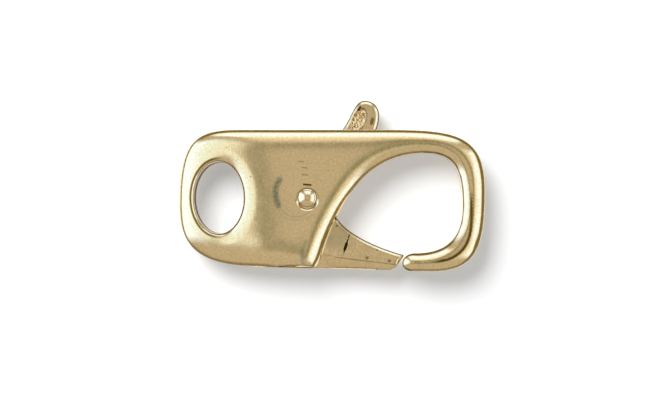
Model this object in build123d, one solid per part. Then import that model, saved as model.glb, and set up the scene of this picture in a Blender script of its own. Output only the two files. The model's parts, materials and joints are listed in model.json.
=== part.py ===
from build123d import *
import math
import os

# A gold lobster clasp, lying flat on its back.
# X runs along the clasp from the eye end to the hook, Y towards the thumb lever, Z up.
# While the pieces are made, the pivot is at X = 0, Y = 0 and the clasp rests on Z = 0.
# At the end everything moves sideways, so that the origin is under the middle of the clasp.

# Body in plan
CLASP_LENGTH = 24.0
EYE_END_TO_PIVOT = 10.1
TOP_EDGE_TO_PIVOT = 5.3
BOTTOM_EDGE_TO_PIVOT = 5.5
BOTTOM_SLANT = 1.5
EYE_END_BULGE_DROP = 0.5
HOOK_END_BULGE_RISE = 0.55
TOP_EYE_CORNER = 4.9
TOP_HOOK_CORNER = 8.0
BOTTOM_EYE_CORNER = 8.0
BOTTOM_HOOK_CORNER = 4.4

# Body in side view
BODY_THICKNESS = 4.0
EYE_END_THICKNESS = 2.2
HOOK_END_THICKNESS = 3.3
SHOULDER_TO_PIVOT = 4.2
HOOK_TAPER_TO_PIVOT = 5.0
EDGE_ROUND = 0.53

# Eye for the chain
EYE_TO_PIVOT = 6.95
EYE_LENGTH = 3.9
EYE_WIDTH = 5.6
EYE_EDGE_ROUND = 0.28

# Hook opening, the nose, and the lip of the side walls beside the gate
TOP_BAR = 1.78
HOOK_BAR = 1.74
NOSE_BAR = 1.36
NOSE_TO_HOOK_END = 6.48
NOSE_LENGTH = 0.93
LIP_TO_PIVOT = 1.25
LIP_RISE = 1.4
LIP_ANGLE = 72.0
LIP_FOOT = 1.0

# Trigger: hub, gate, thumb lever and the tail that the spring pushes
TRIGGER_THICKNESS = 2.0
HUB_RADIUS = 2.2
GATE_SHOULDER_REACH = 2.9
GATE_SHOULDER_ANGLE = -35.5
GATE_TIP_DROP = 0.15
GATE_TIP_CHAMFER = 0.5
GATE_HEEL_TO_PIVOT = 0.5
GATE_HEEL_ROUND = 0.7
LEVER_REACH = 2.3
LEVER_WIDTH = 2.67
LEVER_TO_PIVOT = 2.71
LEVER_LEAN = 0.45
LEVER_BULGE = 0.22
PUNCH_LENGTH = 1.6
PUNCH_WIDTH = 1.0
PUNCH_DEPTH = 0.1
TAIL_REACH = 3.3
TAIL_WIDTH = 0.9
TAIL_ANGLE = 196.0
TRIGGER_EDGE_ROUND = 0.16
OPEN_ANGLE = 25.0

# Running clearances
SIDE_CLEARANCE = 0.08
PLAN_CLEARANCE = 0.12
GATE_GAP = 0.1
PIN_CLEARANCE = 0.04
RIVET_GAP = 0.01

# Rivet, with a domed head in a shallow dish and a flush head at the back
RIVET_DIAMETER = 1.1
HEAD_DIAMETER = 1.42
HEAD_HEIGHT = 0.5
BACK_HEAD_DIAMETER = 1.5
BACK_HEAD_DEPTH = 0.2
DISH_DIAMETER = 2.0
DISH_DEPTH = 0.12

# Return spring, a bent leaf in a pocket beside the hub
SPRING_LEAF = 0.2
SPRING_WIDTH = 1.5
SPRING_BEND = 0.4
SPRING_GAP = 0.04
POCKET_LENGTH = 3.6
POCKET_DROP = 4.3

# Plain margin by which a cutting shape stands clear of the piece that it cuts
MARGIN = 2.0

# How full each rounded corner is, as shares of its rise and of its run
TOP_EYE_FULLNESS = (0.94, 0.66)
BOTTOM_EYE_FULLNESS = (0.96, 0.58)
TOP_HOOK_FULLNESS = (0.97, 0.68)
BOTTOM_HOOK_FULLNESS = (0.69, 0.86)
OPENING_TOP_FULLNESS = (0.64, 0.86)
OPENING_BOTTOM_FULLNESS = (0.79, 0.55)
NOSE_FULLNESS = (0.55, 0.55)
LEVER_TIP_FULLNESS = (0.58, 0.47)
LEVER_SIDE_FULLNESS = (0.56, 0.6)

# Handles of the gate's hollow upper edge, as shares of its run and of its drop
GATE_HOLLOW_START = (0.13, 0.36)
GATE_HOLLOW_END = (0.49, 0.74)

# Places along the hook opening and the nose, as shares of the lengths that they divide
CREST_SHARE = 0.72
OPENING_SIDE_SHARE = 0.47
NOSE_TIP_SHARE = 0.55
NOSE_OUTER_SHARE = 0.69

# Places that follow from the sizes above
MID = BODY_THICKNESS / 2
TOP = TOP_EDGE_TO_PIVOT
EYE_END = -EYE_END_TO_PIVOT
HOOK_END = CLASP_LENGTH - EYE_END_TO_PIVOT
SLOT = TRIGGER_THICKNESS + 2 * SIDE_CLEARANCE
SLOPE = -math.tan(math.radians(BOTTOM_SLANT))


def bottom(x):
    """Height of the bottom edge at x. It falls gently towards the hook."""
    return -BOTTOM_EDGE_TO_PIVOT + x * SLOPE


def turned(point, degrees):
    """A plan point turned about the pivot."""
    angle = math.radians(degrees)
    x, y = point
    return (x * math.cos(angle) - y * math.sin(angle), x * math.sin(angle) + y * math.cos(angle))


def polar(radius, degrees):
    """A plan point at a distance and an angle from the pivot."""
    return turned((radius, 0), degrees)


def shifted(point, direction, distance):
    """A plan point moved a distance along a direction in degrees."""
    dx, dy = polar(distance, direction)
    return (point[0] + dx, point[1] + dy)


def direction(start, end):
    """The direction in degrees from one plan point to another."""
    return math.degrees(math.atan2(end[1] - start[1], end[0] - start[0]))


def corner(side, flat, fullness, slope=0.0):
    """A rounded corner, upright at its side point and level, or on a slope, at its flat point."""
    rise = (flat[1] - side[1]) * fullness[0]
    run = (flat[0] - side[0]) * fullness[1]
    return Bezier(side, (side[0], side[1] + rise), (flat[0] - run, flat[1] - run * slope), flat)


def prism(outline, low, high):
    """A solid between two heights over a closed plan outline."""
    face = make_face(outline)
    return Pos(0, 0, low) * extrude(face, high - low, dir=(0, 0, 1))


def plate(outline, thickness):
    """A solid of one thickness, centred on the middle of the clasp."""
    return prism(outline, MID - thickness / 2, MID + thickness / 2)


def polygon(points):
    """The closed outline through a few plan points."""
    return Polyline(*points, close=True)


def rim_edges(solid, upright_limit=0.2, edge_limit=0.7):
    """The front and back edges of a solid's upright walls."""
    walls = [face for face in solid.faces() if abs(face.normal_at().Z) < upright_limit]
    edges = [edge for wall in walls for edge in wall.edges()]
    return [edge for edge in edges if abs(edge.tangent_at(0.5).Z) < edge_limit]


# The eye end and the hook end in plan
EYE_TIP = (EYE_END, -EYE_END_BULGE_DROP)
HOOK_TIP = (HOOK_END, HOOK_END_BULGE_RISE)
TOP_LEFT = (EYE_END + TOP_EYE_CORNER, TOP)
TOP_RIGHT = (HOOK_END - TOP_HOOK_CORNER, TOP)
BOTTOM_LEFT = (EYE_END + BOTTOM_EYE_CORNER, bottom(EYE_END + BOTTOM_EYE_CORNER))
BOTTOM_RIGHT = (HOOK_END - BOTTOM_HOOK_CORNER, bottom(HOOK_END - BOTTOM_HOOK_CORNER))

# The hook opening in plan
INNER_TOP = TOP - TOP_BAR
INNER_RIGHT = HOOK_END - HOOK_BAR
NOSE_X = HOOK_END - NOSE_TO_HOOK_END
NOSE_INNER_X = NOSE_X + NOSE_LENGTH
INNER_BOTTOM = bottom(NOSE_INNER_X) + NOSE_BAR
LIP = (LIP_TO_PIVOT, bottom(LIP_TO_PIVOT) + LIP_RISE)
CREST = (LIP_TO_PIVOT + CREST_SHARE * (INNER_RIGHT - LIP_TO_PIVOT), INNER_TOP)
INNER_SIDE = (INNER_RIGHT, INNER_BOTTOM + OPENING_SIDE_SHARE * (INNER_TOP - INNER_BOTTOM))
NOSE_INNER = (NOSE_INNER_X, INNER_BOTTOM)
NOSE_TIP = (NOSE_X, INNER_BOTTOM - NOSE_TIP_SHARE * NOSE_BAR)
NOSE_OUTER_X = NOSE_X + NOSE_OUTER_SHARE * NOSE_LENGTH
NOSE_OUTER = (NOSE_OUTER_X, bottom(NOSE_OUTER_X))
FOOT = (LIP_TO_PIVOT - LIP_FOOT, bottom(LIP_TO_PIVOT - LIP_FOOT))

NOSE_CURVE = corner(NOSE_TIP, NOSE_INNER, NOSE_FULLNESS)
GATE_REACH = NOSE_CURVE.distance_to(Vertex(0, 0, 0)) - GATE_GAP


def body_outline():
    """The whole plan of the body as one C: round the outside, the nose, the opening and the lip."""
    lip_run = CREST[0] - LIP[0]
    return Wire([
        Line(FOOT, BOTTOM_LEFT),
        corner(EYE_TIP, BOTTOM_LEFT, BOTTOM_EYE_FULLNESS, SLOPE),
        corner(EYE_TIP, TOP_LEFT, TOP_EYE_FULLNESS),
        Line(TOP_LEFT, TOP_RIGHT),
        corner(HOOK_TIP, TOP_RIGHT, TOP_HOOK_FULLNESS),
        corner(HOOK_TIP, BOTTOM_RIGHT, BOTTOM_HOOK_FULLNESS, SLOPE),
        Line(BOTTOM_RIGHT, NOSE_OUTER),
        corner(NOSE_TIP, NOSE_OUTER, NOSE_FULLNESS, SLOPE),
        NOSE_CURVE,
        corner(INNER_SIDE, NOSE_INNER, OPENING_BOTTOM_FULLNESS),
        corner(INNER_SIDE, CREST, OPENING_TOP_FULLNESS),
        Bezier(CREST, (CREST[0] - 0.62 * lip_run, CREST[1]), shifted(LIP, LIP_ANGLE, 0.43 * lip_run), LIP),
        Bezier(
            LIP,
            shifted(LIP, LIP_ANGLE, -0.55 * LIP_RISE),
            (FOOT[0] + 0.5 * LIP_FOOT, FOOT[1] + 0.5 * LIP_FOOT * SLOPE),
            FOOT,
        ),
    ])


def taper(start, end, far, thin, side):
    """An arc seen from the side that leaves the level face at start, and has thinned the body at end."""
    drop = (BODY_THICKNESS - thin) / 2
    radius = ((end - start) ** 2 + drop ** 2) / (2 * drop)
    points = []
    for x in (start, (start + far) / 2, far):
        height = MID - radius + math.sqrt(radius ** 2 - (x - start) ** 2)
        points.append((x, 0, MID + side * height))
    return points


def thickness_cutter(side):
    """What stands above the front of the body, or below its back, seen from the side."""
    far_left = EYE_END - MARGIN
    far_right = HOOK_END + MARGIN
    outside = MID + side * (MID + 2 * MARGIN)
    eye_arc = taper(-SHOULDER_TO_PIVOT, EYE_END, far_left, EYE_END_THICKNESS, side)
    hook_arc = taper(HOOK_TAPER_TO_PIVOT, HOOK_END, far_right, HOOK_END_THICKNESS, side)
    around = Polyline(hook_arc[-1], (far_right, 0, outside), (far_left, 0, outside), eye_arc[-1])
    face = make_face(Wire([
        ThreePointArc(*eye_arc),
        Line(eye_arc[0], hook_arc[0]),
        ThreePointArc(*hook_arc),
        *around.edges(),
    ]))
    return extrude(face, TOP + BOTTOM_EDGE_TO_PIVOT, both=True)


# Lever edges, from the hub to the top edge of the body
LEVER_BASE = (LEVER_TO_PIVOT, TOP)
LEVER_BASE_FAR = (LEVER_TO_PIVOT + LEVER_WIDTH, TOP)
LEVER_ROOT = polar(0.92 * HUB_RADIUS, 84.0)
LEVER_ROOT_FAR = polar(0.88 * HUB_RADIUS, 10.0)

# Gate heel, where the gate's bottom edge turns up to the hub behind the lip
HEEL = (GATE_HEEL_TO_PIVOT, bottom(GATE_HEEL_TO_PIVOT))
HEEL_ROOT = polar(0.88 * HUB_RADIUS, 232.0)


def cavity():
    """The hollow between the side walls: hub, lever slot, gate window and spring pocket."""
    # The lever's slot, from its place at rest to its place when the gate is open
    near = direction(LEVER_ROOT, LEVER_BASE)
    far = direction(LEVER_ROOT_FAR, LEVER_BASE_FAR)
    past_top = TOP + MARGIN
    open_root = turned(shifted(LEVER_ROOT, near + 90, PLAN_CLEARANCE), OPEN_ANGLE)
    open_tip = turned(shifted(shifted(LEVER_BASE, near, past_top), near + 90, PLAN_CLEARANCE), OPEN_ANGLE)
    rest_root = shifted(LEVER_ROOT_FAR, far - 90, PLAN_CLEARANCE)
    rest_tip = shifted(shifted(LEVER_BASE_FAR, far, past_top), far - 90, PLAN_CLEARANCE)
    slot = [open_root, open_tip, rest_tip, rest_root]

    # The gate's window, which its shoulder sweeps, open below and to the right
    window_reach = 2 * GATE_SHOULDER_REACH
    spare_angle = math.degrees(PLAN_CLEARANCE / GATE_SHOULDER_REACH)
    window_top = polar(window_reach, GATE_SHOULDER_ANGLE + OPEN_ANGLE + spare_angle)
    heel_side = direction(HEEL_ROOT, HEEL)
    heel_root = shifted(HEEL_ROOT, heel_side - 90, PLAN_CLEARANCE)
    heel_end = shifted(shifted(HEEL, heel_side, MARGIN), heel_side - 90, PLAN_CLEARANCE)
    window = [(0, 0), window_top, (window_top[0], heel_end[1]), heel_end, heel_root]

    # The spring's pocket, beside the hub and the gate's heel, with its roof along the tail
    roof_root = shifted((0, 0), TAIL_ANGLE - 90, TAIL_WIDTH / 2 + PLAN_CLEARANCE)
    roof_length = (roof_root[0] + POCKET_LENGTH) / -math.cos(math.radians(TAIL_ANGLE))
    pocket_side = HEEL_ROOT[0] + (HEEL[0] - HEEL_ROOT[0]) * 0.5
    pocket = [
        shifted(roof_root, TAIL_ANGLE, roof_length),
        (-POCKET_LENGTH, -POCKET_DROP),
        (pocket_side, -POCKET_DROP),
        (pocket_side, -HUB_RADIUS / 2),
        roof_root,
    ]
    hollow = Pos(0, 0, MID) * Cylinder(HUB_RADIUS + PLAN_CLEARANCE, SLOT)
    for points in (slot, window, pocket):
        hollow += plate(polygon(points), SLOT)
    return hollow


def clasp_body():
    """Eye, side walls, spine, hook and nose, cast as one piece."""
    body = prism(body_outline(), -MARGIN, BODY_THICKNESS + MARGIN)
    body -= thickness_cutter(1)
    body -= thickness_cutter(-1)
    body = body.solid()
    # The nose is the narrowest bar, so its width limits the rounding
    edge_round = min(EDGE_ROUND, 0.4 * NOSE_BAR)
    body = body.fillet(edge_round, rim_edges(body))

    eye = Pos(-EYE_TO_PIVOT, 0, MID) * extrude(Ellipse(EYE_LENGTH / 2, EYE_WIDTH / 2), BODY_THICKNESS, both=True)
    body = (body - eye).solid()
    rim = [edge for edge in body.edges() if edge.geom_type != GeomType.LINE and is_eye_rim(edge)]
    body = body.fillet(EYE_EDGE_ROUND, rim)

    body -= cavity()
    pin_radius = RIVET_DIAMETER / 2 + RIVET_GAP
    body -= Pos(0, 0, MID) * Cylinder(pin_radius, 2 * BODY_THICKNESS)
    body -= Pos(0, 0, BODY_THICKNESS) * Cylinder(DISH_DIAMETER / 2, 2 * DISH_DEPTH)
    body -= Pos(0, 0, BACK_HEAD_DEPTH / 2) * Cone(
        BACK_HEAD_DIAMETER / 2 + RIVET_GAP, pin_radius, BACK_HEAD_DEPTH
    )
    return body.solid()


def is_eye_rim(edge):
    """Whether an edge runs round the eye on the front or the back."""
    middle = edge.center(CenterOf.BOUNDING_BOX)
    size = edge.bounding_box().size
    near_eye = math.hypot(middle.X + EYE_TO_PIVOT, middle.Y) < EDGE_ROUND
    return near_eye and size.Y > EYE_WIDTH / 2 and size.Y < EYE_WIDTH + EYE_EDGE_ROUND


def lever_tip():
    """The top of the thumb lever, which leans towards the hook."""
    return (LEVER_BASE[0] + LEVER_WIDTH / 2 + LEVER_LEAN, TOP + LEVER_REACH)


def lever_plan():
    """The thumb lever in plan, from inside the hub to its rounded tip."""
    tip = lever_tip()
    side = (LEVER_BASE_FAR[0] + LEVER_BULGE, TOP + LEVER_REACH / 2)
    rise = tip[1] - LEVER_BASE[1]
    run = tip[0] - LEVER_BASE[0]
    lean = direction(LEVER_ROOT, LEVER_BASE)
    return make_face(Wire([
        Line(LEVER_ROOT_FAR, LEVER_ROOT),
        Line(LEVER_ROOT, LEVER_BASE),
        Bezier(
            LEVER_BASE,
            shifted(LEVER_BASE, lean, LEVER_TIP_FULLNESS[0] * rise),
            (tip[0] - LEVER_TIP_FULLNESS[1] * run, tip[1]),
            tip,
        ),
        corner(side, tip, LEVER_SIDE_FULLNESS),
        Bezier(side, (side[0], side[1] - 0.17 * rise), shifted(LEVER_BASE_FAR, 71, 0.16 * rise), LEVER_BASE_FAR),
        Line(LEVER_BASE_FAR, LEVER_ROOT_FAR),
    ])).face()


def gate_plan():
    """The gate in plan, from its shoulder beside the lip to the end that meets the nose."""
    shoulder = polar(GATE_SHOULDER_REACH, GATE_SHOULDER_ANGLE)
    root = polar(0.5 * HUB_RADIUS, GATE_SHOULDER_ANGLE)
    tip_y = INNER_BOTTOM - GATE_TIP_DROP
    tip = (math.sqrt(GATE_REACH ** 2 - tip_y ** 2), tip_y)
    low_y = bottom(tip[0]) + GATE_TIP_CHAMFER
    low = (math.sqrt(GATE_REACH ** 2 - low_y ** 2), low_y)
    toe_x = low[0] - GATE_TIP_CHAMFER
    toe = (toe_x, bottom(toe_x))
    run = tip[0] - shoulder[0]
    drop = tip[1] - shoulder[1]
    end_middle = polar(GATE_REACH, (direction((0, 0), tip) + direction((0, 0), low)) / 2)
    face = make_face(Wire([
        Line(root, shoulder),
        Bezier(
            shoulder,
            (shoulder[0] + GATE_HOLLOW_START[0] * run, shoulder[1] + GATE_HOLLOW_START[1] * drop),
            (shoulder[0] + GATE_HOLLOW_END[0] * run, shoulder[1] + GATE_HOLLOW_END[1] * drop),
            tip,
        ),
        ThreePointArc(tip, end_middle, low),
        Line(low, toe),
        Line(toe, HEEL),
        Line(HEEL, HEEL_ROOT),
        Line(HEEL_ROOT, root),
    ])).face()
    heel_corner = [v for v in face.vertices() if math.hypot(v.X - HEEL[0], v.Y - HEEL[1]) < 0.001]
    return face.fillet_2d(GATE_HEEL_ROUND, heel_corner)


def tail_plan():
    """The tail in plan, a plain bar that the spring pushes."""
    length = TAIL_REACH - HUB_RADIUS / 2
    return Rot(0, 0, TAIL_ANGLE) * Pos(TAIL_REACH - length / 2, 0) * Rectangle(length, TAIL_WIDTH)


def trigger():
    """Thumb lever, hub, gate and tail in one piece, turning on the rivet."""
    plan = Circle(HUB_RADIUS) + tail_plan() + gate_plan() + lever_plan()
    low = MID - TRIGGER_THICKNESS / 2
    blank = (Pos(0, 0, low) * extrude(plan, TRIGGER_THICKNESS, dir=(0, 0, 1))).solid()
    blank = blank.fillet(TRIGGER_EDGE_ROUND, rim_edges(blank))

    # An oval punched hollow on the lever's front
    tip = lever_tip()
    punch_middle = (LEVER_BASE[0] + LEVER_WIDTH / 2, TOP + 0.44 * LEVER_REACH)
    punch_turn = direction((LEVER_BASE[0] + LEVER_WIDTH / 2, TOP), tip)
    punch = extrude(Ellipse(PUNCH_LENGTH / 2, PUNCH_WIDTH / 2), PUNCH_DEPTH, both=True)
    front = MID + TRIGGER_THICKNESS / 2
    blank -= Pos(punch_middle[0], punch_middle[1], front) * Rot(0, 0, punch_turn) * punch
    bore = Cylinder(RIVET_DIAMETER / 2 + PIN_CLEARANCE, 2 * BODY_THICKNESS)
    return (blank - Pos(0, 0, MID) * bore).solid()


def rivet():
    """The pivot pin, with a domed head in front and a flush countersunk head behind."""
    seat = BODY_THICKNESS - DISH_DEPTH
    head_radius = HEAD_DIAMETER / 2
    dome_radius = (head_radius ** 2 + HEAD_HEIGHT ** 2) / (2 * HEAD_HEIGHT)
    dome = Pos(0, 0, seat + HEAD_HEIGHT - dome_radius) * Sphere(dome_radius)
    dome &= Pos(0, 0, seat + HEAD_HEIGHT) * Box(BODY_THICKNESS, BODY_THICKNESS, 2 * HEAD_HEIGHT)
    shank = Pos(0, 0, seat / 2) * Cylinder(RIVET_DIAMETER / 2, seat)
    back = Pos(0, 0, BACK_HEAD_DEPTH / 2) * Cone(BACK_HEAD_DIAMETER / 2, RIVET_DIAMETER / 2, BACK_HEAD_DEPTH)
    return (shank + dome + back).solid()


def spring():
    """The return spring: one leg on the pocket's floor, the other under the trigger's tail."""
    half_leaf = SPRING_LEAF / 2
    floor = -POCKET_DROP + half_leaf + SPRING_GAP
    tail_tip = shifted(polar(TAIL_REACH, TAIL_ANGLE), TAIL_ANGLE + 90, TAIL_WIDTH / 2)
    bend_x = HEEL_ROOT[0] + (HEEL[0] - HEEL_ROOT[0]) * 0.25
    path = FilletPolyline(
        (-POCKET_LENGTH + SPRING_LEAF, floor),
        (bend_x, floor),
        (tail_tip[0] + SPRING_LEAF, tail_tip[1] - half_leaf - SPRING_GAP),
        radius=SPRING_BEND,
    )
    leaf = trace(path, SPRING_LEAF)
    return (Pos(0, 0, MID) * extrude(leaf, SPRING_WIDTH / 2, both=True)).solid()


pieces = {
    "clasp_body": clasp_body(),
    "trigger": trigger(),
    "rivet": rivet(),
    "spring": spring(),
}

# The origin goes under the middle of the whole clasp
boxes = [solid.bounding_box() for solid in pieces.values()]
middle_x = (min(box.min.X for box in boxes) + max(box.max.X for box in boxes)) / 2
middle_y = (min(box.min.Y for box in boxes) + max(box.max.Y for box in boxes)) / 2

os.makedirs("parts", exist_ok=True)
for name, solid in pieces.items():
    export_step(Pos(-middle_x, -middle_y, 0) * solid, f"parts/{name}.step")
print("pivot at", -middle_x, -middle_y)
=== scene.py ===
import json
import math

import bpy
import numpy as np
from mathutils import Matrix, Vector, noise
from mathutils.geometry import delaunay_2d_cdt

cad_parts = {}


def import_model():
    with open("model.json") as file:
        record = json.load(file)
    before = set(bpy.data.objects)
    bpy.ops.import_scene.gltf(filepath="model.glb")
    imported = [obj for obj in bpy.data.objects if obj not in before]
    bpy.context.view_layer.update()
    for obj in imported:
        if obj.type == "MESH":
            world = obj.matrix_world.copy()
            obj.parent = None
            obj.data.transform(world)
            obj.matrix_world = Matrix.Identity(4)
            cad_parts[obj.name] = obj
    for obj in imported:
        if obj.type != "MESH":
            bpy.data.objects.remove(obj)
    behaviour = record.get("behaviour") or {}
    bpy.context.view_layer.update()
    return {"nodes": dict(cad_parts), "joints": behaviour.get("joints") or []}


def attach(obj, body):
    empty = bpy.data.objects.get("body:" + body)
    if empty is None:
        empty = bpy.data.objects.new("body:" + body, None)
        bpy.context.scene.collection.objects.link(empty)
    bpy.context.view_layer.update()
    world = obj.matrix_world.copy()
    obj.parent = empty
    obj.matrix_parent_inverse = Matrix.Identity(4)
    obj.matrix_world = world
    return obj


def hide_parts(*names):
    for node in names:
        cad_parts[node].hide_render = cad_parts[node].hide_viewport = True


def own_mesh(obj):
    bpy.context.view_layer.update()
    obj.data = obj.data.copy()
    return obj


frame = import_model()

# A polished gold lobster clasp, seen from straight above on a pale table.
# Plan shapes are in millimetres from the trigger's pivot, heights in millimetres above the table.
# They become metres in the row frame when a mesh is made.
METRES = 0.001
PIVOT = Vector(frame["joints"][0]["pos_m"]) / METRES

# Body in plan
CLASP_LENGTH = 24.0
EYE_END_TO_PIVOT = 10.1
TOP_EDGE_TO_PIVOT = 5.3
BOTTOM_EDGE_TO_PIVOT = 5.5
BOTTOM_SLANT = 1.5
EYE_END_BULGE_DROP = 0.5
HOOK_END_BULGE_RISE = 0.55
TOP_EYE_CORNER = 4.9
TOP_HOOK_CORNER = 8.0
BOTTOM_EYE_CORNER = 8.0
BOTTOM_HOOK_CORNER = 4.4
EYE_TO_PIVOT = 6.95
EYE_LENGTH = 3.9
EYE_WIDTH = 5.6
TOP_BAR = 1.78
HOOK_BAR = 1.74
NOSE_BAR = 1.36
NOSE_TO_HOOK_END = 6.48
NOSE_LENGTH = 0.93
LIP_TO_PIVOT = 1.25
LIP_RISE = 1.4
LIP_ANGLE = 72.0
LIP_FOOT = 1.0

# How full each rounded corner is, as shares of its rise and of its run
TOP_EYE_FULLNESS = (0.94, 0.66)
BOTTOM_EYE_FULLNESS = (0.96, 0.58)
TOP_HOOK_FULLNESS = (0.97, 0.68)
BOTTOM_HOOK_FULLNESS = (0.69, 0.86)
OPENING_TOP_FULLNESS = (0.64, 0.86)
OPENING_BOTTOM_FULLNESS = (0.79, 0.55)
NOSE_FULLNESS = (0.55, 0.55)
LIP_FULLNESS = (0.62, 0.43)
FOOT_FULLNESS = (0.55, 0.5)
CREST_SHARE = 0.72
OPENING_SIDE_SHARE = 0.47
NOSE_TIP_SHARE = 0.55
NOSE_OUTER_SHARE = 0.69

# Body in side view
BODY_THICKNESS = 4.0
EYE_END_THICKNESS = 2.2
HOOK_END_THICKNESS = 3.3
SHOULDER_TO_PIVOT = 3.0
SHOULDER_SWEEP = 0.026
SHOULDER_LOWEST = -2.5
SHOULDER_SOFTNESS = 0.85
HOOK_TAPER_TO_PIVOT = 5.0
HOOK_TAPER_SOFTNESS = 1.2

# Rounding of the body's edges: an arc that meets the side wall at an angle, in degrees, and a crown
EDGE_ROUND = 0.95
LOW_EDGE_ROUND = 1.35
NOSE_EDGE_ROUND = 0.75
HOOK_INNER_ROUND = 0.75
HOOK_OUTER_ROUND = 1.25
EDGE_STEEPEST = 38.5
LIP_STEEPEST = 45.0
LIP_RIM_ROUND = 0.25
LIP_RIM_STEEPEST = 35.0
EYE_STEEPEST = 34.0
CROWN_WIDTH = 2.1
LOW_CROWN_WIDTH = 2.25
CROWN_DROP = 0.26
LOW_CROWN_DROP = 0.36
EYE_EDGE_ROUND = 0.3
EYE_DIP = 0.13
EYE_DIP_WIDTH = 1.1
EYE_END_CURVE = 0.0036
LOW_LEAN = 0.14
LOW_LEAN_START = 3.6
LOW_LEAN_FULL = 0.7
FOOT_SQUEEZE = 2.6
MOST_FALL = 0.78
EYE_CROWN_LOSS = 0.6

# Zones of the body, each from where it starts to where it is full
EYE_ZONE = (1.5, 7.5)
EYE_DIP_ZONE = (-0.5, 1.2)
LOW_ZONE = (-0.5, 4.5)
LOW_ZONE_END = (3.0, 5.0)
LIP_ZONE = (-1.0, 1.0)
LIP_ZONE_ASIDE = (0.7, 1.2)
FOOT_ZONE = (-4.0, -2.0)
FOOT_ZONE_END = (2.0, 3.0)
FOOT_ZONE_ASIDE = (0.85, 1.8)
HOOK_ZONE = (10.5, 12.0)
HOOK_ZONE_LOW = (-4.6, -3.4)
HOOK_ZONE_HIGH = (2.4, 3.6)
HOOK_OUTER_ZONE = (12.5, 13.3)
NOSE_ZONE_SHARES = (0.6, 1.6)

# Marks of making and wear on the body's front, measured from the pivot
DISH_OFFSET = (0.0, -0.1)
DISH_INNER = 0.7
DISH_OUTER = 0.94
DISH_SHARE_ABOVE = 0.2
DISH_LOW_ZONE = (-0.1, 0.8)

# Scratches in the body: stroke, width, depth, and the width and amount of the painted shade in them
BODY_SCRATCHES = [
    (((-0.28, 1.03), (0.26, 0.98)), 0.13, 0.015, 0.182, 0.85),
    (((-0.62, 2.83), (-0.3, 2.8)), 0.07, 0.006, 0.091, 0.3),
    (((-0.4, 2.36), (-0.06, 2.3)), 0.07, 0.006, 0.091, 0.3),
    (((-0.42, 1.8), (0.02, 1.76)), 0.07, 0.006, 0.091, 0.3),
]

# Pits in the body: x, y and radius
BODY_PITS = [
    (-4.38, 1.64, 0.08),
    (-3.55, 1.28, 0.12),
    (0.9, -2.2, 0.05),
    (-6.3, 3.9, 0.05),
    (-0.87, -0.2, 0.1),
]
BODY_PIT_DEPTH = 0.006

# Trigger
TRIGGER_THICKNESS = 2.0
HUB_RADIUS = 2.2
GATE_SHOULDER_REACH = 2.9
GATE_SHOULDER_ANGLE = -35.5
GATE_TIP_DROP = 0.15
GATE_TIP_CHAMFER = 0.45
GATE_TIP_CHAMFER_RISE = 0.25
GATE_HEEL_TO_PIVOT = 0.5
GATE_GAP = 0.1
GATE_HOLLOW_START = (0.13, 0.36)
GATE_HOLLOW_END = (0.49, 0.74)
LEVER_REACH = 2.3
LEVER_WIDTH = 2.67
LEVER_TO_PIVOT = 2.71
LEVER_LEAN = 0.45
LEVER_BULGE = 0.22
LEVER_BASE_ANGLE = 71.0
LEVER_BASE_FULLNESS = (0.17, 0.16)
LEVER_TIP_FULLNESS = (0.58, 0.47)
LEVER_SIDE_FULLNESS = (0.56, 0.6)
TAIL_REACH = 3.3
TAIL_WIDTH = 0.9
TAIL_ANGLE = 196.0
TRIGGER_EDGE_ROUND = 0.16
GATE_EDGE_ROUND = 0.44
LEVER_EDGE_ROUND = 0.46
TRIGGER_STEEPEST = 45.0
OPEN_ANGLE = 25.0

# Where lever, heel and gate leave the hub: share of its radius, and angle
LEVER_ROOT_AT = (0.92, 84.0)
LEVER_ROOT_FAR_AT = (0.88, 10.0)
HEEL_ROOT_AT = (0.88, 232.0)
GATE_ROOT_AT = (0.5, GATE_SHOULDER_ANGLE)

# Where the trigger's edges are rounded more: on the lever, and above a line on the gate
LEVER_ZONE = (3.5, 4.5)
GATE_EDGE_START = (1.6, 2.2)
GATE_EDGE_LINE = (7.0, -5.2)
GATE_EDGE_SLOPE = 0.35
GATE_EDGE_ZONE = (-0.1, 0.2)

# Marks on the trigger: a bevel along the gate's bottom, a gouge and the lever's stippled oval
GATE_BEVEL_LINE = ((2.15, -4.66), (7.26, -5.29))
GATE_BEVEL_ANGLE = 20.0
GATE_BEVEL_BEND = 0.02
GATE_BEVEL_ZONE = (-1.0, -0.3)
GOUGE = ((3.27, -2.9), (2.82, -4.35))
GOUGE_WIDTH = 0.27
GOUGE_DEPTH = 0.05
OVAL_MIDDLE = (4.0, 6.1)
OVAL_LENGTH = 1.9
OVAL_WIDTH = 1.05
OVAL_TURN = 68.0
OVAL_DEPTH = 0.1
STIPPLE_SIZE = 0.13
STIPPLE_HEIGHT = 0.028
OVAL_LEAN = 0.1
OVAL_LEAN_AZIMUTH = 165.0

# Scratches in the trigger, and pits in its gate, as for the body
LEVER_SPOT = ((5.02, 5.84), (5.1, 6.18))
LEVER_SPOT_WIDTH = 0.38
TRIGGER_SCRATCHES = [
    (LEVER_SPOT, LEVER_SPOT_WIDTH, 0.008, LEVER_SPOT_WIDTH, 0.42),
    # Painted shadow along the upper edge of the lever's oval recess, with a shallow cut
    (((3.95, 6.85), (4.14, 7.12)), 0.15, 0.02, 0.195, 1.0),
]
GATE_PITS = [
    (4.67, -4.72, 0.17),
    (6.42, -4.95, 0.18),
    (5.45, -4.1, 0.09),
    (2.3, -2.2, 0.12),
]
GATE_PIT_DEPTH = 0.008

# Running clearances
SIDE_CLEARANCE = 0.08
PLAN_CLEARANCE = 0.12
PIN_CLEARANCE = 0.04

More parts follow.
